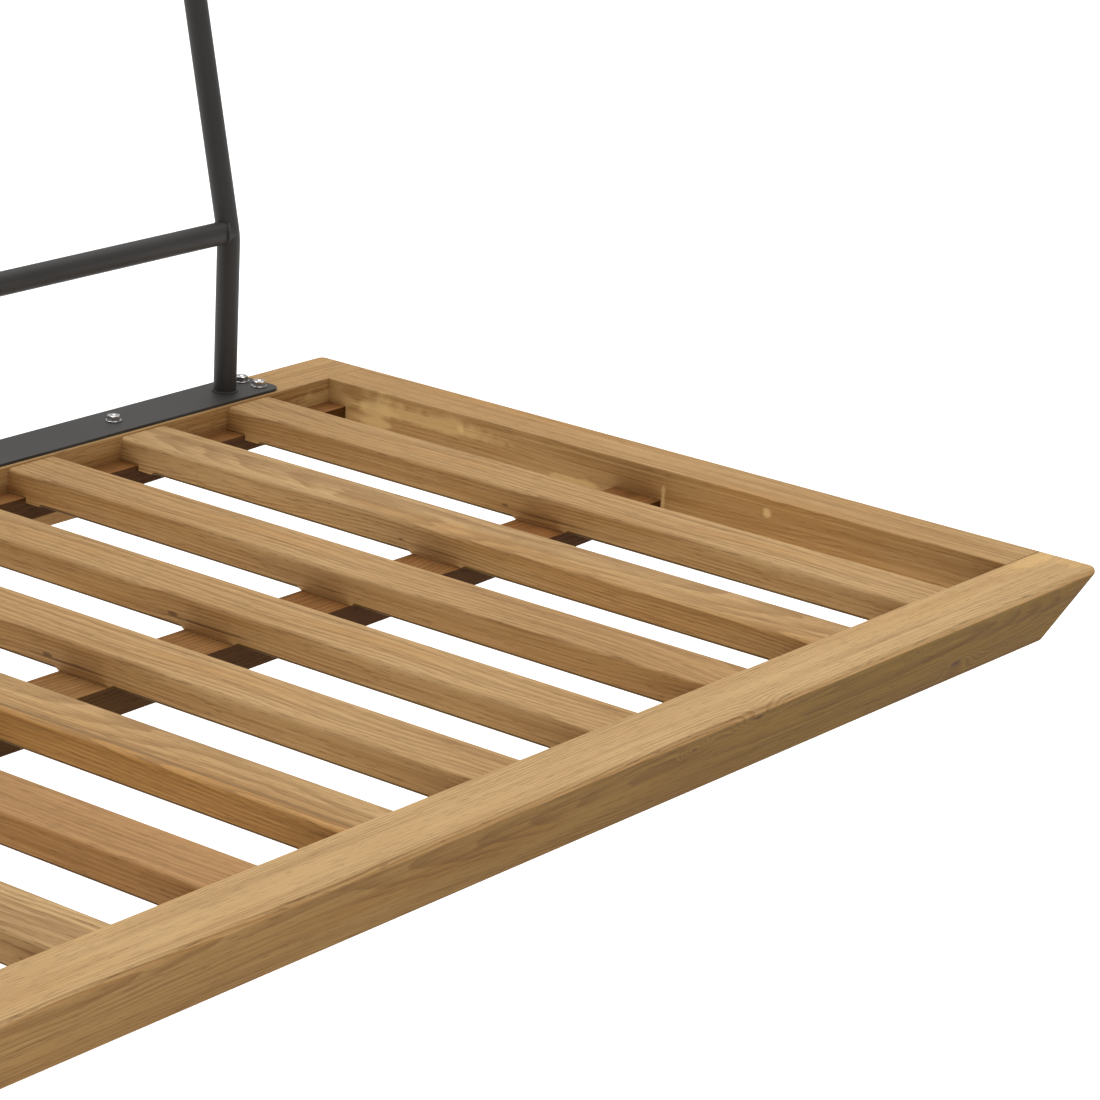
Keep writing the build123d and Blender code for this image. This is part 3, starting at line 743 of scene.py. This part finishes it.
# %% [markdown]
# ## Bolts and washers on the back frame
# Eight hexagon bolts hold the steel bar down. A forged head has a round dimple in its top, and
# a lathe takes its corners off at thirty degrees, which leaves the curved arcs on the six flats.
# We get those arcs by lowering each ring point by how far it stands out past the circle.

# %% Frame bolts
bolt_low, bolt_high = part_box("frame_bolts")
washer_low, washer_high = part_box("frame_washers")
BOLT_FLATS = 6.5 * MM
HEAD_CIRCLE = 6.1 * MM
SHANK = 4.0 * MM
seat, crown = washer_high.z, bolt_high.z


def hexagon(angle, half_flats=BOLT_FLATS):
    """Distance from the middle to the side of a hexagon at an angle."""
    return half_flats / math.cos((angle + math.pi / 6) % (math.pi / 3) - math.pi / 6)


def ring(angles, radius, height):
    """Points round the Z axis. Radius and height are numbers, or rules that read the angle."""
    made = []
    for a in angles:
        r = radius(a) if callable(radius) else radius
        made.append((r * math.cos(a), r * math.sin(a), height(a) if callable(height) else height))
    return made


def bolt_rings(steps=48):
    """A bolt from its shank's tip up to the dimple in its head."""
    angles = [2 * math.pi * i / steps for i in range(steps)]

    def chamfer(a):
        return crown - max(0.15 * MM, (hexagon(a) - HEAD_CIRCLE) * 0.6)

    outline = [
        (SHANK, bolt_low.z), (SHANK, seat - 0.02 * MM), (HEAD_CIRCLE, seat - 0.02 * MM),
        (HEAD_CIRCLE, seat + 0.25 * MM), (hexagon, seat + 0.3 * MM), (hexagon, chamfer),
        (HEAD_CIRCLE - 0.3 * MM, crown), (2.7 * MM, crown), (2.3 * MM, crown - 0.45 * MM),
        (1.4 * MM, crown - 0.95 * MM), (0.4 * MM, crown - 1.15 * MM),
    ]
    return [ring(angles, radius, height) for radius, height in outline]


def washer_rings(steps=48):
    """A flat washer with eased edges, from its bore round and back."""
    angles = [2 * math.pi * i / steps for i in range(steps)]
    outer, inner = 8.6 * MM, SHANK + 0.1 * MM
    low, high, ease = washer_low.z, washer_high.z, 0.25 * MM
    outline = [(inner, low), (outer - ease, low), (outer, low + ease), (outer, high - ease),
               (outer - ease, high), (inner + ease, high), (inner, high - ease), (inner, low)]
    return [ring(angles, radius, height) for radius, height in outline]


def weld_doubles(mesh, distance=1e-6):
    """Merges points that lie on each other and turns every face outwards."""
    shell = bmesh.new()
    shell.from_mesh(mesh)
    bmesh.ops.remove_doubles(shell, verts=shell.verts, dist=distance)
    bmesh.ops.recalc_face_normals(shell, faces=shell.faces)
    shell.to_mesh(mesh)
    shell.free()
    return mesh


bolt_pattern = hide_pattern("bolt pattern", skin_rings("bolt", bolt_rings()))
washer_pattern = hide_pattern(
    "washer pattern", weld_doubles(skin_rings("washer", washer_rings(), closed_ends=False))
)
bar_low, bar_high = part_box("base_bar")
bar_middle = (bar_low.y + bar_high.y) / 2
END_PAIR = 17 * MM
PAIR_SPACING = 26 * MM
FIRST_SINGLE = 229 * MM
SINGLES = 4
bolt_lines = [
    (2, (x, bar_middle - PAIR_SPACING / 2, 0), (0, PAIR_SPACING, 0))
    for x in (bar_low.x + END_PAIR, bar_high.x - END_PAIR)
]
single_step = (bar_high.x - bar_low.x - 2 * FIRST_SINGLE) / (SINGLES - 1)
bolt_lines.append((SINGLES, (bar_low.x + FIRST_SINGLE, bar_middle, 0), (single_step, 0, 0)))


def lay_rows(pattern, lines, turn_by, material):
    return [
        run_tree("row", ROW, {"Pattern": pattern, "Count": count, "Start": start, "Step": step,
                              "Turn": turn_by, "Finish": material})
        for count, start, step in lines
    ]


join("hexagon_bolts", lay_rows(bolt_pattern, bolt_lines, math.pi / 3, stainless), "platform",
     ["frame_bolts"], stainless)
join("round_washers", lay_rows(washer_pattern, bolt_lines, 0.0, stainless), "platform",
     ["frame_washers"], stainless)

# %% [markdown]
# ## Wood screws under the seat
# The slats are screwed from below, through the beam and both bearers, so no screw shows on top.
# Each countersunk head has a cross-shaped recess. One pattern screw points up, and five rows of
# it use the same row tree. The level screws in the bearers are turned on their side first.

# %% Screws
HEAD_RADIUS = 4.5 * MM
SCREW_RADIUS = 2.25 * MM
ROOT_RADIUS = SCREW_RADIUS * 0.78
THREAD_PITCH = 2.2 * MM
SLAT_SCREW = 34 * MM
BEARER_SCREW = 55 * MM


def screw_rings(total, steps=24):
    """A screw with its head at the origin, pointing up Z, with a thread along its upper part."""

    def recess(a, depth):
        """The outline of the cross at an angle, smaller where it is deeper."""
        arm = 0.9 * MM
        reach = 2.2 * MM * depth
        across = max(abs(math.cos(a)), abs(math.sin(a)))
        along = min(abs(math.cos(a)), abs(math.sin(a)))
        return min(reach, arm / max(along, 1e-6)) if along < across else reach

    outline = [
        (lambda a: recess(a, 0.35), 2.0 * MM), (lambda a: recess(a, 1.0), 0.05 * MM),
        (HEAD_RADIUS - 0.2 * MM, 0.05 * MM), (HEAD_RADIUS, 0.25 * MM),
        (SCREW_RADIUS, HEAD_RADIUS - SCREW_RADIUS),
    ]
    z = HEAD_RADIUS + 6 * MM
    while z < total - 5 * MM:
        outline += [(ROOT_RADIUS, z), (SCREW_RADIUS, z + THREAD_PITCH / 2)]
        z += THREAD_PITCH
    outline += [(ROOT_RADIUS, total - 4 * MM), (0.3 * MM, total)]
    angles = [2 * math.pi * (i + 0.5) / steps for i in range(steps)]
    return [ring(angles, radius, height) for radius, height in outline]


slat_screw_mesh = skin_rings("slat screw", screw_rings(SLAT_SCREW))
slat_centres = [slat_middle + i * next_slat for i in range(len(slat_nodes))]


def screw_heads(node):
    """Where the heads of a row of upright screws are: one under each slat, on the arch."""
    low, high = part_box(node)
    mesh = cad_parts[node].data
    found = []
    for x in slat_centres:
        near = [v.co.z for v in mesh.vertices if abs(v.co.x - x) < 0.006]
        found.append((x, (low.y + high.y) / 2, min(near)))
    return found


for node in ("slat_screws_front", "slat_screws_centre", "slat_screws_rear"):
    screw_pattern = hide_pattern("screw pattern", slat_screw_mesh)
    lines = [(1, head, (0, 0, 0)) for head in screw_heads(node)]
    join("threaded_" + node, lay_rows(screw_pattern, lines, 0.0, screw_steel), "platform",
         [node], screw_steel)
    bpy.data.objects.remove(screw_pattern)

for node, way in (("front_bearer_screws", 1), ("rear_bearer_screws", -1)):
    low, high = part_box(node)
    lying = skin_rings("bearer screw", screw_rings(BEARER_SCREW))
    lying.transform(Matrix.Rotation(way * math.pi / 2, 4, "X"))
    screw_pattern = hide_pattern("screw pattern", lying)
    head_y = high.y if way > 0 else low.y
    step = (high.x - low.x - 2 * HEAD_RADIUS) / 4
    lines = [(5, (low.x + HEAD_RADIUS, head_y, (low.z + high.z) / 2), (step, 0, 0))]
    join("threaded_" + node, lay_rows(screw_pattern, lines, 0.0, screw_steel), "platform",
         [node], screw_steel)
    bpy.data.objects.remove(screw_pattern)
for pattern in (bolt_pattern, washer_pattern):
    bpy.data.objects.remove(pattern)

# %% [markdown]
# ## Weld beads
# A welded bead is a row of overlapping puddles that follows the seam between two tubes. Two round
# tubes of the same size meet in a seam that rises and falls like a saddle: its height is the
# distance from the middle, taken as a negative. So a circle, bent by that rule, is the path. The
# puddles are a wave in the bead's thickness.

# %% The bead tree


def bead_tree():
    """A tree that runs a rippled bead round a saddle-shaped circle, with named inputs."""
    tree = bpy.data.node_groups.new("weld bead", "GeometryNodeTree")
    face = tree.interface
    for label, kind in (
        ("Radius", "NodeSocketFloat"), ("Saddle", "NodeSocketFloat"), ("Thickness", "NodeSocketFloat"),
        ("Ripple", "NodeSocketFloat"), ("Puddles", "NodeSocketFloat"), ("Finish", "NodeSocketMaterial"),
    ):
        face.new_socket(name=label, in_out="INPUT", socket_type=kind)
    face.new_socket(name="Geometry", in_out="OUTPUT", socket_type="NodeSocketGeometry")
    new, link = tree.nodes.new, tree.links.new

    def sum_of(operation, *values):
        made = new("ShaderNodeMath")
        made.operation = operation
        for socket, value in zip(made.inputs, values):
            if isinstance(value, bpy.types.NodeSocket):
                link(value, socket)
            else:
                socket.default_value = value
        return made.outputs[0]

    given = new("NodeGroupInput").outputs
    path = new("GeometryNodeCurvePrimitiveCircle")
    path.inputs["Resolution"].default_value = 240
    link(given["Radius"], path.inputs["Radius"])
    place = new("GeometryNodeInputPosition")
    split = new("ShaderNodeSeparateXYZ")
    link(place.outputs[0], split.inputs[0])
    drop = sum_of("MULTIPLY", sum_of("ABSOLUTE", split.outputs[0]), given["Saddle"])
    lift = new("ShaderNodeCombineXYZ")
    link(drop, lift.inputs[2])
    bent = new("GeometryNodeSetPosition")
    link(path.outputs[0], bent.inputs["Geometry"])
    link(lift.outputs[0], bent.inputs["Offset"])
    along = new("GeometryNodeSplineParameter")
    puddle = sum_of("MULTIPLY", along.outputs[0], given["Puddles"])
    wave = sum_of("SINE", sum_of("MULTIPLY", puddle, 2 * math.pi))
    swell = sum_of("ADD", sum_of("MULTIPLY", wave, given["Ripple"]), 1.0)
    section = new("GeometryNodeCurvePrimitiveCircle")
    section.inputs["Resolution"].default_value = 10
    link(given["Thickness"], section.inputs["Radius"])
    bead = new("GeometryNodeCurveToMesh")
    link(bent.outputs[0], bead.inputs["Curve"])
    link(section.outputs[0], bead.inputs["Profile Curve"])
    link(swell, bead.inputs["Scale"])
    real = new("GeometryNodeRealizeInstances")
    link(bead.outputs[0], real.inputs[0])
    done = new("GeometryNodeSetMaterial")
    link(real.outputs[0], done.inputs["Geometry"])
    link(given["Finish"], done.inputs["Material"])
    link(done.outputs[0], new("NodeGroupOutput").inputs[0])
    return tree


BEAD = bead_tree()
TUBE_RADIUS = 12.5 * MM


def bead(place, axis, saddle_axis, saddle, thickness=1.7 * MM):
    """One closed bead round a tube that ends at a place; axis points from the seam to the tube."""
    mesh = run_tree("bead", BEAD, {
        "Radius": TUBE_RADIUS + 0.4 * MM, "Saddle": saddle, "Thickness": thickness, "Ripple": 0.13,
        "Puddles": 26.0, "Finish": coat,
    })
    up = Vector(axis).normalized()
    along = Vector(saddle_axis).normalized()
    x_axis = along.cross(up).normalized()
    y_axis = up.cross(x_axis)
    mesh.transform(Matrix.Translation(place) @ Matrix((x_axis, y_axis, up)).transposed().to_4x4())
    weld_doubles(mesh)
    mesh.polygons.foreach_set("use_smooth", [True] * len(mesh.polygons))
    return mesh


def middle_of(node):
    low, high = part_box(node)
    return (low + high) / 2


bar_face = bar_high.z
upright_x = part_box("crossbar")[1].x
cross = middle_of("crossbar")
top = middle_of("top_rail")
post = middle_of("centre_post_lower")
lean = Vector((0, top.y - cross.y, top.z - cross.z)).normalized()
upright_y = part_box("left_upright")[0].y + TUBE_RADIUS
base_beads = [
    bead((x, y, bar_face + 0.4 * MM), (0, 0, 1), (1, 0, 0), 0.0, thickness=1.3 * MM)
    for x, y in ((-upright_x, upright_y), (post.x, post.y), (upright_x, upright_y))
]
join("base_weld_beads", base_beads, "platform", ["base_welds"], coat)
level, standing = (1, 0, 0), (0, 0, 1)
tube_beads = [
    bead((-upright_x, cross.y, cross.z), (1, 0, 0), standing, 1.0),
    bead((upright_x, cross.y, cross.z), (-1, 0, 0), standing, 1.0),
    bead(cross, (0, 0, -1), level, 1.0),
    bead(cross, lean, level, 1.0),
    bead(top, -lean, level, 1.0),
]
join("tube_weld_beads", tube_beads, "platform", ["tube_welds"], coat)
